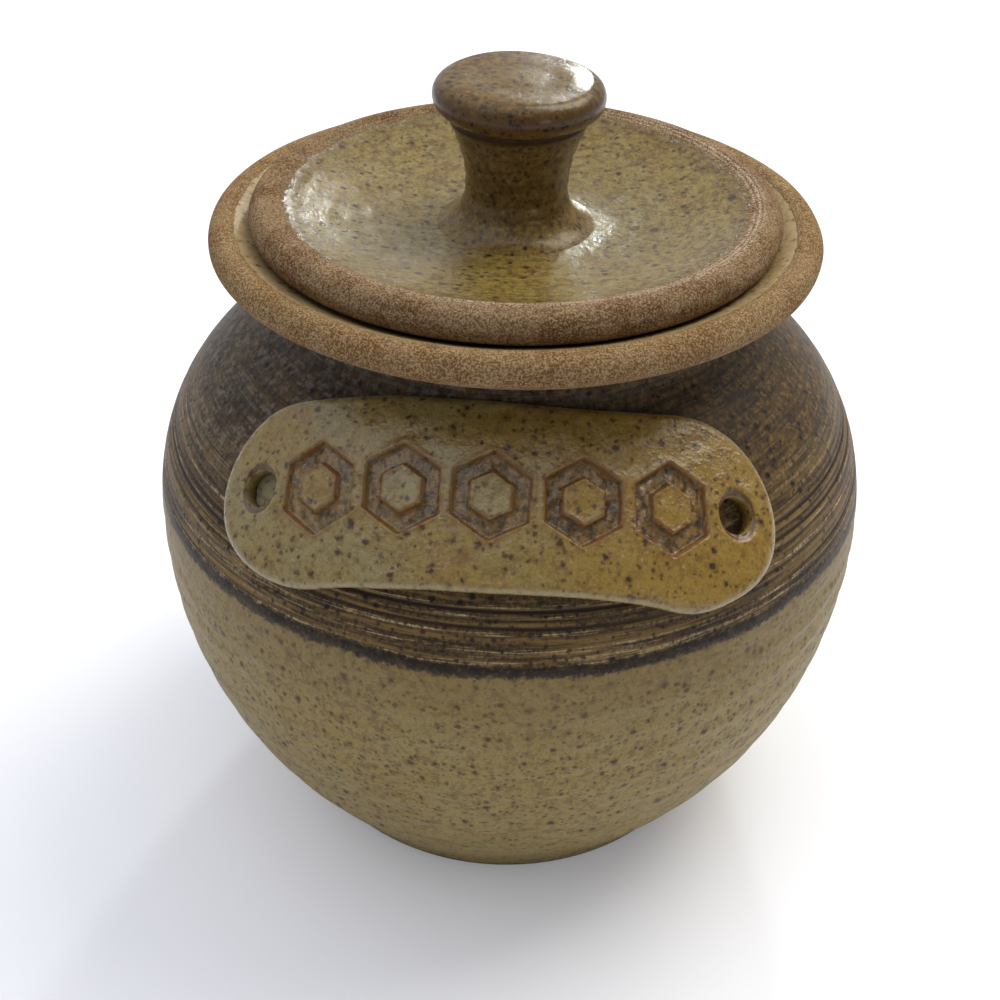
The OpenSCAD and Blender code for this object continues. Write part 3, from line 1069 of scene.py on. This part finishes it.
ASH_GLAZE = GlazeColours(
    thick=clay(143, 131, 80), warm=clay(139, 114, 50), brown=clay(86, 62, 31),
    iron=clay(46, 29, 18), pale=clay(182, 172, 120),
)
KNOB_GLAZE = GlazeColours(
    thick=clay(134, 117, 70), warm=clay(130, 101, 46), brown=clay(82, 59, 30),
    iron=clay(38, 25, 18), pale=clay(168, 154, 108),
)
PLAQUE_GLAZE = GlazeColours(
    thick=clay(145, 133, 88), warm=clay(149, 118, 44), brown=clay(100, 71, 32),
    iron=clay(46, 29, 18), pale=clay(190, 180, 132),
)
GALLERY_GLAZE = GlazeColours(
    thick=clay(186, 168, 128), warm=clay(180, 154, 108), brown=clay(122, 96, 62),
    iron=clay(60, 42, 30), pale=clay(212, 196, 152),
)
BELLY_GLAZE = GlazeColours(
    thick=clay(158, 141, 86), warm=clay(154, 129, 66), brown=clay(104, 81, 40),
    iron=clay(50, 33, 20), pale=clay(188, 172, 114),
)


@dataclass(frozen=True)
class Scatter:
    """One size of iron specks: cell spacing, share of cells held, size in a cell, seed, depth."""

    spacing: float
    share: float
    size: float
    seed: float
    depth: float


SPECKS = (
    Scatter(spacing=0.95, share=0.42, size=0.42, seed=1.0, depth=0.6),
    Scatter(spacing=1.8, share=0.4, size=0.33, seed=2.0, depth=0.85),
    Scatter(spacing=5.5, share=0.22, size=0.17, seed=3.0, depth=0.9),
)
HALO_DEPTH = 0.55

LIP_CLAY = ClayColours(
    body=clay(146, 118, 84), light=clay(190, 164, 124), dark=clay(74, 54, 38), blush=clay(128, 96, 60),
)
RIM_CLAY = ClayColours(
    body=clay(140, 115, 86), light=clay(182, 158, 126), dark=clay(68, 49, 38), blush=clay(112, 82, 54),
)
CLAY_RELIEF, PLAQUE_RELIEF = 0.22, 0.24
DRY_GLEAM, PLAQUE_GLEAM = 0.07, 0.65


class Sheen(Enum):
    """How a surface takes light: its roughness where glazed and where bare."""

    GLASSY = 0.2
    SATIN = 0.4
    DRY = 0.88


@dataclass
class Finish:
    """A material under way: its sheet of nodes and the surface that it ends in."""

    name: str
    effects: Effects

    def __post_init__(self) -> None:
        """Open the material with a Principled surface and the place on the piece in millimetres."""
        self.material = bpy.data.materials.new(self.name)
        self.material.use_nodes = True
        tree = self.material.node_tree
        tree.nodes.clear()
        self.sheet = NodeSheet(tree)
        self.surface = self.sheet.add("ShaderNodeBsdfPrincipled")
        output = self.sheet.add("ShaderNodeOutputMaterial")
        tree.links.new(self.surface.outputs[0], output.inputs[0])
        place = self.sheet.add("ShaderNodeTexCoord").outputs["Object"]
        self.where = self.sheet.vector("SCALE", place, 1 / MM)

    def streaks(self, fineness: float, length: float, seed: float) -> Socket:
        """Wheel streaks of a fineness for each millimetre, drawn out by a length."""
        return self.sheet.group(self.effects.streaks, place=self.where, run=self.sheet.mask("run"),
                                fineness=fineness, length=length, seed=seed).outputs[0]

    def speckled(self, colour: Value, iron: Colour, brown: Colour, amount: float = 1.0) -> Socket:
        """Scatter three sizes of iron specks with brown haloes over a colour.

        Args:
            colour: Colour of the glaze.
            iron: Colour of the specks.
            brown: Colour of their haloes.
            amount: Scales how many cells hold a speck.

        Returns:
            The speckled colour.
        """
        sheet = self.sheet
        for scatter in SPECKS:
            specks = sheet.group(self.effects.specks, place=self.where, spacing=scatter.spacing,
                                 share=scatter.share * amount, size=scatter.size, seed=scatter.seed)
            colour = sheet.lay(colour, brown, specks.outputs["Halo"], HALO_DEPTH)
            colour = sheet.lay(colour, iron, specks.outputs["Mask"], scatter.depth)
        return colour

    def glaze(
        self, colours: GlazeColours, thin: Value, warm: Value, specks: float, broken: float
    ) -> Socket:
        """Colour of a glaze: clouds from thick to warm, brown flecks, thin places, iron specks.

        Args:
            colours: The glaze's colours.
            thin: How thin it lies, 0 to 1, which lets the brown through.
            warm: How far it leans to its warm colour.
            specks: Scales the number of iron specks.
            broken: How strongly brown flecks break it up.

        Returns:
            The glaze's colour.
        """
        sheet = self.sheet
        clouds = sheet.patches(self.where, 0.09, 0.36, 0.64)
        flecks = sheet.patches(self.where, 0.75, 0.46, 0.62, 0.75)
        grain = sheet.patches(self.where, 2.4, 0.44, 0.6, 0.72)
        colour = sheet.lay(colours.thick, colours.warm, clouds, 0.6)
        colour = sheet.mix(warm, colour, colours.warm)
        colour = sheet.mix(sheet.times(flecks, broken), colour, colours.brown)
        colour = sheet.mix(sheet.times(grain, 0.55 * broken), colour, colours.brown)
        pale = sheet.patches(self.where, 1.7, 0.62, 0.74, 0.6)
        colour = sheet.lay(colour, colours.pale, pale, 0.5)
        ragged = sheet.linear(sheet.noise(self.where, 0.9, 4.0, 0.7), 1.1, -0.55)
        bite = sheet.fade(sheet.math("ADD", thin, ragged), 0.3, 0.95)
        colour = sheet.mix(bite, colour, colours.brown)
        return self.speckled(colour, colours.iron, colours.brown, specks)

    def clay_coat(self, colours: ClayColours) -> tuple[Socket, Socket]:
        """Colour and height of bare toasted clay."""
        sheet = self.sheet
        grain = sheet.group(self.effects.grain, place=self.where, fineness=3.7)
        blush = sheet.patches(self.where, 0.14, 0.42, 0.62, 0.7)
        colour = sheet.mix(blush, colours.body, colours.blush)
        colour = sheet.lay(colour, colours.light, grain.outputs["Light"], 0.55)
        colour = sheet.lay(colour, colours.dark, grain.outputs["Dark"], 0.62)
        return colour, grain.outputs["Height"]

    def ragged(self, mask: Socket, scale: float = 0.9, reach: float = 0.8) -> Socket:
        """Give a soft mask a ragged edge by adding noise before a steep step."""
        sheet = self.sheet
        rough = sheet.linear(sheet.noise(self.where, scale, 4.0, 0.7), reach, -reach / 2)
        return sheet.fade(sheet.math("ADD", mask, rough), 0.36, 0.64)

    def close(
        self, colour: Socket, rough: Value, height: Socket, relief: float, shine: Value = 0.5
    ) -> bpy.types.Material:
        """Join colour, roughness, shine and relief to the surface.

        Args:
            colour: Base colour.
            rough: Roughness.
            height: Height for the fine relief, in about 0 to 1.
            relief: Depth of that relief in millimetres.
            shine: Specular level.

        Returns:
            The finished material.
        """
        sheet = self.sheet
        bump = sheet.add("ShaderNodeBump")
        bump.inputs["Distance"].default_value = relief * MM
        bump.inputs["Strength"].default_value = 1.0
        sheet.feed(height, bump.inputs["Height"])
        sheet.feed(bump.outputs[0], self.surface.inputs["Normal"])
        sheet.feed(colour, self.surface.inputs["Base Color"])
        sheet.feed(rough, self.surface.inputs["Roughness"])
        sheet.feed(shine, self.surface.inputs["Specular IOR Level"])
        return self.material


@dataclass
class PotFinish(Finish):
    """Speckled glaze below, an iron line, combed slip, a mottled shoulder and a dry toasted lip.

    A drop of pale glaze lies where the plaque's left hole ends on the shoulder.
    """

    drop: tuple[float, float, float] = (0.0, 0.0, 0.0)
    line_z = 61.7
    slip_z = 62.4

    def build(self) -> bpy.types.Material:
        """Lay the zones over one another from the foot up."""
        sheet = self.sheet
        x, _, height = sheet.split(self.where)
        wander = sheet.linear(sheet.noise(self.where, 0.06, 3.0, 0.6), 2.0, -1.0)
        fray = sheet.linear(sheet.noise(self.where, 1.1, 4.0, 0.75), 2.4, -1.2)
        level = sheet.math("ADD", height, sheet.math("ADD", wander, fray))
        broad, fine = self.streaks(0.5, 14.0, 4.0), self.streaks(1.7, 22.0, 9.0)

        belly = self.glaze(BELLY_GLAZE, 0.0, sheet.times(broad, 0.4), 1.25, 0.6)
        brushed = sheet.times(sheet.fade(fine, 0.7, 0.95), sheet.fade(height, 30.0, 4.0))
        belly = sheet.lay(belly, BELLY_GLAZE.pale, brushed, 0.5)
        # painted shade: the upper belly, under the plaque and flange, is browned towards the iron line
        belly = sheet.lay(belly, BELLY_GLAZE.brown, sheet.fade(level, 44.0, 61.0), 0.42)
        upward = sheet.fade(level, 70.0, 80.0)
        slip = sheet.mix(upward, self.combed(fine), self.slip(x, fine))
        colour = sheet.mix(sheet.fade(level, self.slip_z - 0.6, self.slip_z + 0.6), belly, slip)

        off_line = sheet.math("ABSOLUTE", sheet.math("SUBTRACT", level, self.line_z))
        line = sheet.fade(off_line, 1.35, 0.6)
        strength = sheet.linear(sheet.patches(self.where, 0.35, 0.34, 0.6), 0.14, 0.85)
        inked = sheet.mix(sheet.patches(self.where, 1.8, 0.52, 0.68, 0.7), LINE_INK, LINE_WORN)
        colour = sheet.mix(sheet.times(line, strength), colour, inked)

        off_drop = sheet.add("ShaderNodeVectorMath", operation="DISTANCE")
        sheet.feed(self.where, off_drop.inputs[0])
        sheet.feed(self.drop, off_drop.inputs[1])
        pooled = sheet.mix(sheet.patches(self.where, 1.2, 0.5, 0.7), DROP_PALE, DROP_BROWN)
        colour = sheet.mix(sheet.fade(off_drop.outputs["Value"], 4.2, 3.0), colour, pooled)
        gallery = self.glaze(GALLERY_GLAZE, 0.3, 0.2, 0.7, 0.4)
        colour = sheet.mix(sheet.mask("inner"), colour, gallery)
        bare = self.ragged(sheet.mask("bare"), 0.8, 1.1)
        dry, grain = self.clay_coat(LIP_CLAY)
        sandy = sheet.times(sheet.mask("inner"), 0.24)
        colour = sheet.mix(sheet.math("MAXIMUM", bare, sandy), colour, dry)
        foot = sheet.times(sheet.fade(level, 1.7, 0.7), sheet.fade(sheet.mask("inner"), 0.6, 0.4))
        colour = sheet.lay(colour, FOOT_CLAY, foot, 0.85)

        skin = sheet.group(self.effects.skin, place=self.where, peel=0.55)
        relief = sheet.linear(bare, grain, sheet.times(skin.outputs[0], 0.7))
        satin = sheet.linear(fine, 0.14, Sheen.SATIN.value)
        rough = sheet.math("ADD", satin, sheet.times(bare, Sheen.DRY.value - Sheen.SATIN.value))
        slipped = sheet.fade(level, self.line_z - 1.5, self.slip_z)
        shine = sheet.linear(sheet.math("MAXIMUM", bare, slipped), -0.25, 0.4)
        return self.close(colour, rough, relief, CLAY_RELIEF, shine)

    def slip(self, x: Socket, fine: Socket) -> Socket:
        """Iron slip on the shoulder: near black, broken by ochre flecks, more of them to the right.

        Args:
            x: Place across the pot, in millimetres.
            fine: Fine wheel streaks.

        Returns:
            The slip's colour.
        """
        sheet = self.sheet
        right = sheet.fade(x, -14.0, 34.0)
        drawn = self.streaks(0.75, 3.0, 2.0)
        patch = sheet.patches(self.where, 0.12, 0.36, 0.66, 0.65)
        fleck = sheet.patches(self.where, 0.95, 0.48, 0.6, 0.78)
        colours = SHOULDER_SLIP
        colour = sheet.mix(patch, colours.dark, colours.light)
        flecked = sheet.linear(fleck, 0.85, sheet.times(drawn, 0.35))
        colour = sheet.mix(sheet.times(sheet.linear(right, 0.28, 0.32), flecked), colour, colours.ochre)
        grey = sheet.times(sheet.patches(self.where, 0.7, 0.46, 0.6, 0.72), 0.75)
        grey = sheet.times(grey, sheet.linear(right, -0.9, 1.0))
        colour = sheet.mix(grey, colour, colours.worn)
        colour = sheet.lay(colour, colours.streak, sheet.fade(fine, 0.6, 0.2), 0.55)
        return self.speckled(colour, colours.iron, colours.halo, 1.2)

    def combed(self, fine: Socket) -> Socket:
        """Combed slip: dark in the grooves, worn pale along the thin ridges between them.

        Args:
            fine: Fine wheel streaks.

        Returns:
            The combed band's colour.
        """
        sheet = self.sheet
        groove = sheet.mask("comb")
        hair, wide = self.streaks(3.4, 30.0, 6.0), self.streaks(0.9, 26.0, 8.0)
        broken = sheet.patches(self.where, 1.9, 0.38, 0.62, 0.75)
        colours = COMBED_SLIP
        colour = sheet.mix(broken, colours.dark, colours.light)
        colour = sheet.lay(colour, colours.ochre, sheet.fade(wide, 0.35, 0.85), 0.65)
        colour = sheet.mix(sheet.fade(groove, 0.35, 0.95), colour, GROOVE)
        ridge = sheet.times(sheet.fade(groove, 0.24, 0.02), sheet.fade(hair, 0.45, 0.85))
        pale = sheet.times(ridge, sheet.linear(broken, 0.75, 0.2))
        colour = sheet.mix(pale, colour, colours.worn)
        colour = sheet.lay(colour, colours.streak, sheet.fade(fine, 0.5, 0.1), 0.55)
        return self.speckled(colour, colours.iron, colours.halo, 0.9)


class LidFinish(Finish):
    """Ash glaze in the dish and over the knob, breaking brown at edges, with a dry toasted rim."""

    colours = ASH_GLAZE
    thin_more = 0.0
    speck_amount = 1.0
    gleam = 0.42

    def build(self) -> bpy.types.Material:
        """Lay the glaze with soft brown blots, then the bare rim with a painted highlight on its ridged
        crest.
        """
        sheet = self.sheet
        thin = sheet.math("ADD", sheet.times(sheet.mask("thin"), 0.6), self.thin_more)
        warm = sheet.times(self.streaks(0.5, 5.0, 1.0), 0.6)
        colour = self.glaze(self.colours, thin, warm, self.speck_amount, 0.7)
        drag = sheet.fade(self.streaks(1.9, 7.0, 3.0), 0.55, 1.0)
        colour = sheet.lay(colour, self.colours.brown, drag, 0.4)
        blots = sheet.patches(self.where, 0.5, 0.58, 0.7, 0.66)
        colour = sheet.lay(colour, self.colours.brown, blots, 0.6)
        burnt = sheet.times(sheet.patches(self.where, 0.8, 0.57, 0.64, 0.6), sheet.mask("thin"))
        colour = sheet.lay(colour, self.colours.iron, burnt, 0.75)
        # painted shade: the crease under the knob's cap is darkened
        crease = sheet.mask("crease")
        colour = sheet.lay(colour, CREASE_SHADE, crease, 0.85)
        bare = self.ragged(sheet.mask("bare"), 0.8, 1.0)
        dry, grain = self.clay_coat(RIM_CLAY)
        # painted highlight: the pale crest colour on the rim's ridge tops, strongest towards the right
        crest = sheet.math("MULTIPLY", sheet.mask("crest"), sheet.fade(grain, 0.4, 0.56), clamp=True)
        dry = sheet.lay(dry, CREST_HIGHLIGHT, crest, 0.95)
        colour = sheet.mix(bare, colour, dry)
        skin = sheet.group(self.effects.skin, place=self.where, peel=0.5)
        relief = sheet.linear(bare, grain, sheet.times(skin.outputs[0], 0.42))
        gloss = sheet.linear(sheet.noise(self.where, 0.3, 2.0, 0.5), 0.24, 0.12)
        rough = sheet.math("ADD", gloss, sheet.times(bare, Sheen.DRY.value - Sheen.GLASSY.value))
        matt = sheet.math("MAXIMUM", bare, crease)
        shine = sheet.linear(matt, DRY_GLEAM - self.gleam, self.gleam)
        return self.close(colour, rough, relief, CLAY_RELIEF, shine)


class KnobFinish(LidFinish):
    """The lid's glaze where it runs thinner and breaks brown over the cap, with painted shade on the stem and
    in the crease under the cap.
    """

    colours = KNOB_GLAZE
    thin_more = 0.15
    speck_amount = 1.5
    gleam = 0.3


class PlaqueFinish(Finish):
    """Glossy ash glaze, grey-green to amber, dark and rusty where the stamps hold it."""

    def build(self) -> bpy.types.Material:
        """Lay the glaze, the dark hollows, their rusty walls and the pale outer edge, which is thin glaze and
        painted highlight.
        """
        sheet = self.sheet
        amber = sheet.times(sheet.mask("amber"), 0.9)
        edge = sheet.mask("edge")
        base = self.glaze(PLAQUE_GLAZE, sheet.times(edge, 0.2), amber, 1.2, 0.45)
        stamp, wall, hole = sheet.mask("stamp"), sheet.mask("wall"), sheet.mask("hole")
        held = sheet.mix(sheet.patches(self.where, 0.8, 0.4, 0.6, 0.7), HOLLOW_DARK, HOLLOW_LIGHT)
        colour = sheet.lay(base, held, stamp, 0.9)
        rust = sheet.times(wall, sheet.patches(self.where, 0.8, 0.34, 0.6))
        colour = sheet.lay(colour, RUST, rust, 0.8)
        around = self.ragged(sheet.times(hole, 0.85), 0.8, 0.5)
        colour = sheet.lay(colour, HOLE_RUST, around, 0.8)
        colour = sheet.lay(colour, STAIN, sheet.patches(self.where, 0.16, 0.58, 0.72), 0.45)
        # thin pale glaze along the slab's outer edge, partly a painted highlight on that edge
        colour = sheet.lay(colour, PALE_EDGE_AND_HIGHLIGHT, sheet.fade(edge, 0.72, 1.0), 0.38)
        skin = sheet.group(self.effects.skin, place=self.where, peel=0.6)
        rough = sheet.linear(sheet.noise(self.where, 0.5, 2.0, 0.5), 0.2, 0.12)
        return self.close(colour, rough, skin.outputs[0], PLAQUE_RELIEF, PLAQUE_GLEAM)


# The studio


@dataclass(frozen=True)
class Lamp:
    """A flat lamp that hangs at a place and faces the pot."""

    name: str
    place: tuple[float, float, float]
    wide: float
    tall: float
    power: float
    colour: tuple[float, float, float]

    def hang(self) -> None:
        """Add the lamp to the scene and turn it to the middle of the pot."""
        data = bpy.data.lights.new(self.name, "AREA")
        data.shape = "RECTANGLE"
        data.size, data.size_y = self.wide, self.tall
        data.energy, data.color = self.power, self.colour
        lamp = bpy.data.objects.new(self.name, data)
        bpy.context.scene.collection.objects.link(lamp)
        x, y, z = self.place[0], self.place[1], self.place[2] - 0.08
        lamp.location = self.place
        lamp.rotation_euler = (math.atan2(math.hypot(x, y), z), 0.0, math.atan2(y, x) + math.pi / 2)


@dataclass
class Studio:
    """Floor, lamps, world and the camera at the photograph's angle."""

    focal: float = 50.405
    sensor: float = 36.0
    distance: float = 0.18945
    height: float = 0.18720
    pitch: float = 0.62855
    roll: float = 0.02495
    shift: float = -0.00896
    lamps: tuple[Lamp, ...] = (
        Lamp("key", (0.46, 0.3, 0.86), 0.6, 0.6, 6.2, (1.0, 0.95, 0.8)),
        Lamp("window", (0.15, 0.91, 0.43), 0.06, 0.13, 2.1, (0.95, 1.0, 0.97)),
        Lamp("front", (0.52, -0.71, 0.27), 0.16, 0.16, 0.42, (1.0, 0.93, 0.78)),
        Lamp("sky", (-0.22, 0.0, 1.15), 1.3, 1.3, 5.0, (0.97, 0.98, 1.0)),
    )

    def camera(self) -> None:
        """Stand the camera in front of the pot, look down at it, and roll a little."""
        data = bpy.data.cameras.new("camera")
        data.lens, data.sensor_width, data.shift_x = self.focal, self.sensor, self.shift
        data.clip_start, data.clip_end = 0.01, 20.0
        camera = bpy.data.objects.new("camera", data)
        bpy.context.scene.collection.objects.link(camera)
        camera.location = (0.0, -self.distance, self.height)
        camera.rotation_mode = "ZYX"
        camera.rotation_euler = (math.pi / 2 - self.pitch, 0.0, self.roll)
        bpy.context.scene.camera = camera

    def floor(self) -> None:
        """A wide, plain, pale floor."""
        reach = 3.0
        corners = [(-reach, -reach, 0), (reach, -reach, 0), (reach, reach, 0), (-reach, reach, 0)]
        mesh = bpy.data.meshes.new("floor")
        mesh.from_pydata(corners, [], [(0, 1, 2, 3)])
        floor = bpy.data.objects.new("floor", mesh)
        bpy.context.scene.collection.objects.link(floor)
        material = bpy.data.materials.new("pale floor")
        material.use_nodes = True
        surface = material.node_tree.nodes["Principled BSDF"]
        surface.inputs["Base Color"].default_value = (0.86, 0.87, 0.95, 1.0)
        surface.inputs["Roughness"].default_value = 0.9
        surface.inputs["Specular IOR Level"].default_value = 0.1
        surface.inputs["Emission Color"].default_value = (0.93, 0.95, 1.0, 1.0)
        sheet = NodeSheet(material.node_tree)
        seen = sheet.add("ShaderNodeLightPath").outputs["Is Camera Ray"]
        sheet.feed(sheet.times(seen, 0.17), surface.inputs["Emission Strength"])
        mesh.materials.append(material)

    def world(self) -> None:
        """A room that is dim in front and brighter above, behind and to the left, seen as plain white.

        Camera and transmission rays meet white everywhere, glossy rays near the horizon only,
        where a backdrop would stand. All other rays meet the room.
        """
        world = bpy.data.worlds.new("studio")
        bpy.context.scene.world = world
        world.use_nodes = True
        world.node_tree.nodes.clear()
        sheet = NodeSheet(world.node_tree)
        right, back, up = sheet.split(sheet.add("ShaderNodeTexCoord").outputs["Generated"])
        room = sheet.linear(sheet.fade(back, -0.6, 0.8), 0.3, 0.16)
        room = sheet.linear(sheet.fade(up, 0.1, 1.0), 0.1, room)
        room = sheet.linear(sheet.fade(right, 0.3, -0.9), 0.26, room)
        path = sheet.add("ShaderNodeLightPath")
        backdrop = sheet.times(path.outputs["Is Glossy Ray"], sheet.fade(up, 0.2, 0.02))
        backdrop = sheet.times(backdrop, 0.35)
        seen = sheet.math("MAXIMUM", path.outputs["Is Camera Ray"], path.outputs["Is Transmission Ray"])
        light = sheet.add("ShaderNodeBackground")
        light.inputs["Color"].default_value = (0.95, 0.97, 1.0, 1.0)
        sheet.feed(room, light.inputs["Strength"])
        white = sheet.add("ShaderNodeBackground")
        white.inputs["Color"].default_value = (1.0, 1.0, 1.0, 1.0)
        both = sheet.add("ShaderNodeMixShader")
        sheet.feed(sheet.math("MAXIMUM", seen, backdrop), both.inputs[0])
        sheet.feed(light.outputs[0], both.inputs[1])
        sheet.feed(white.outputs[0], both.inputs[2])
        output = sheet.add("ShaderNodeOutputWorld")
        sheet.feed(both.outputs[0], output.inputs[0])

    def build(self) -> None:
        """Set up everything that isn't the pot."""
        self.camera()
        self.floor()
        self.world()
        for lamp in self.lamps:
            lamp.hang()
        bpy.context.scene.view_settings.view_transform = "Standard"


def dress(piece: bpy.types.Object, finish: bpy.types.Material, body: str, node: str) -> None:
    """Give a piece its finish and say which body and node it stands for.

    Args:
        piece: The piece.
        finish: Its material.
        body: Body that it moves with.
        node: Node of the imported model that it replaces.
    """
    piece.data.materials.clear()
    piece.data.materials.append(finish)
    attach(piece, body)
    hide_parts(node)
    LOG.info("%s: %d faces, for node %s", piece.name, len(piece.data.polygons), node)


def main() -> None:
    """Build the studio, then throw, dress and place every piece of the pot."""
    logging.basicConfig(level=logging.INFO, format="%(name)s: %(message)s")
    Studio().build()
    effects = Effects()
    pot = Pot()
    lid = Lid(pot)
    plaque = Plaque(pot)
    pot_finish = PotFinish("pot glaze", effects, plaque.hole_foot(-1))
    dress(pot.build(), pot_finish.build(), "pot", "pot_body")
    dress(plaque.build(), PlaqueFinish("plaque glaze", effects).build(), "pot", "plaque")
    dress(lid.build(), LidFinish("lid glaze", effects).build(), "lid", "lid")
    dress(Knob(lid).build(), KnobFinish("knob glaze", effects).build(), "lid", "lid_knob")


if __name__ == "__main__":
    main()
